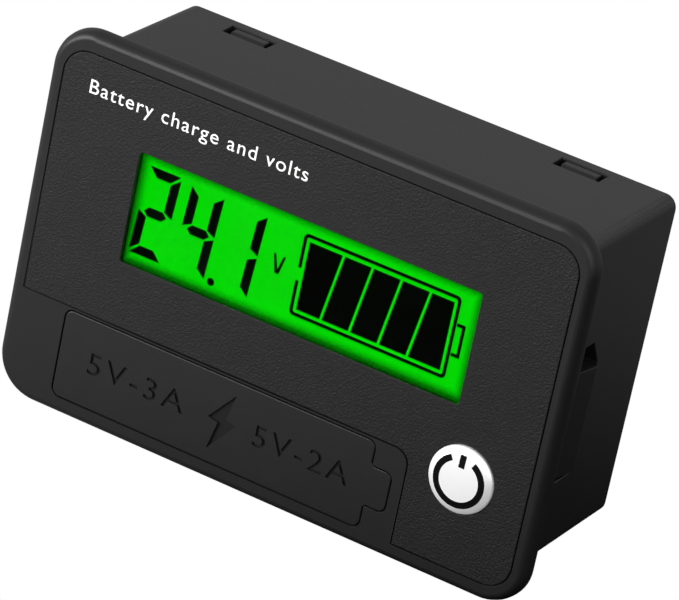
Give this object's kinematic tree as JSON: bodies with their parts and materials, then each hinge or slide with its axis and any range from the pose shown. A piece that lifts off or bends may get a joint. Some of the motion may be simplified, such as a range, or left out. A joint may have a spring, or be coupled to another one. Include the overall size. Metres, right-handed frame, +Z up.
{
  "type": "panel battery meter",
  "caption": "Panel-mounted battery voltage and charge meter with a green backlit display, a round power button and charging ports behind a hinged rubber cover.",
  "frame": {"origin": "middle of the panel cut-out, in the plane that the back of the flange seats on", "axes": "+X to the right across the face, +Y back through the panel, +Z up"},
  "size_m": [0.0724, 0.0278, 0.0478],
  "materials": {
    "housing_abs": "fine satin moulded black ABS",
    "label_film": "leather-grained black film",
    "clear_window": "clear polycarbonate film",
    "display_glass": "clear soda-lime glass",
    "polariser": "grey polarising film",
    "segments": "dark switched segments",
    "glass_seal": "cured epoxy",
    "light_guide": "edge-lit acrylic, lit green",
    "white_film": "white reflector film",
    "led_resin": "moulded LED resin",
    "holder_abs": "moulded natural ABS",
    "tinned_metal": "tinned copper alloy",
    "circuit_board": "green solder mask on glass epoxy",
    "component_resin": "black moulded epoxy",
    "screw_steel": "zinc-plated steel",
    "switch_stem": "moulded nylon",
    "button_metal": "satin silver-plated cap",
    "symbol_paint": "black filled symbol",
    "cover_rubber": "smooth black silicone rubber",
    "connector_shell": "nickel-plated steel",
    "tongue_white": "white moulded nylon",
    "tongue_black": "black moulded nylon",
    "gold_contact": "gold-plated contact",
    "ferrite": "sintered ferrite",
    "copper_wire": "enamelled copper wire",
    "capacitor_can": "plain aluminium can",
    "terminal_nylon": "green moulded polyamide",
    "spring_steel": "stainless spring strip",
    "release_nylon": "orange moulded polyamide"
  },
  "bodies": {
    "meter": {"housing": "housing_abs", "back_cover": "housing_abs", "face_label": "label_film", "display_window": "clear_window", "front_polariser": "polariser", "lcd_front_glass": "display_glass", "lcd_segments": "segments", "lcd_seal": "glass_seal", "lcd_rear_glass": "display_glass", "rear_polariser": "polariser", "light_guide": "light_guide", "reflector_film": "white_film", "backlight_leds": "led_resin", "display_holder": "holder_abs", "lcd_pins": "tinned_metal", "main_board": "circuit_board", "meter_chip": "component_resin", "board_resistors": "component_resin", "board_screws": "screw_steel", "tact_switch": "component_resin", "cover_anchor": "cover_rubber", "usb_a_shell": "connector_shell", "usb_a_tongue": "tongue_white", "usb_a_contacts": "gold_contact", "usb_c_shell": "connector_shell", "usb_c_tongue": "tongue_black", "usb_c_contacts": "gold_contact", "power_board": "circuit_board", "board_header": "component_resin", "header_pins": "gold_contact", "inductor_core": "ferrite", "inductor_winding": "copper_wire", "capacitors": "capacitor_can", "converter_chips": "component_resin", "input_diode": "component_resin", "terminal_block": "terminal_nylon", "terminal_springs": "spring_steel", "terminal_pins": "tinned_metal"},
    "button_cap": {"power_button": "button_metal", "button_symbol": "symbol_paint"},
    "switch_stem": {"switch_plunger": "switch_stem"},
    "port_cover": {"usb_cover": "cover_rubber"},
    "left_release": {"left_release_button": "release_nylon"},
    "right_release": {"right_release_button": "release_nylon"},
    "left_arm": {"left_latch": "housing_abs"},
    "right_arm": {"right_latch": "housing_abs"}
  },
  "joints": [
    {"name": "button_press", "type": "slide", "parent": "meter", "child": "button_cap", "axis": [0, 1, 0], "range_m": [0, 0.0005], "stiffness_N_per_m": 2500},
    {"name": "switch_press", "type": "slide", "parent": "meter", "child": "switch_stem", "axis": [0, 1, 0], "range_m": [0, 0.0005]},
    {"name": "cover_swing", "type": "hinge", "parent": "meter", "child": "port_cover", "pos_m": [-0.0267, -0.0017, -0.0159], "axis": [0, 0, -1], "range_deg": [0, 115]},
    {"name": "left_release_press", "type": "slide", "parent": "meter", "child": "left_release", "axis": [0, -1, 0], "range_m": [0, 0.001], "stiffness_N_per_m": 3000},
    {"name": "right_release_press", "type": "slide", "parent": "meter", "child": "right_release", "axis": [0, -1, 0], "range_m": [0, 0.001], "stiffness_N_per_m": 3000},
    {"name": "left_latch_flex", "type": "hinge", "parent": "meter", "child": "left_arm", "pos_m": [-0.03085, 0.0204, 0], "axis": [0, 0, 1], "range_deg": [0, 3.5], "stiffness_Nm_per_rad": 1.2},
    {"name": "right_latch_flex", "type": "hinge", "parent": "meter", "child": "right_arm", "pos_m": [0.03085, 0.0204, 0], "axis": [0, 0, -1], "range_deg": [0, 3.5], "stiffness_Nm_per_rad": 1.2}
  ],
  "couplings": [
    {"joint": "switch_press", "follows": "button_press", "ratio": 1}
  ]
}
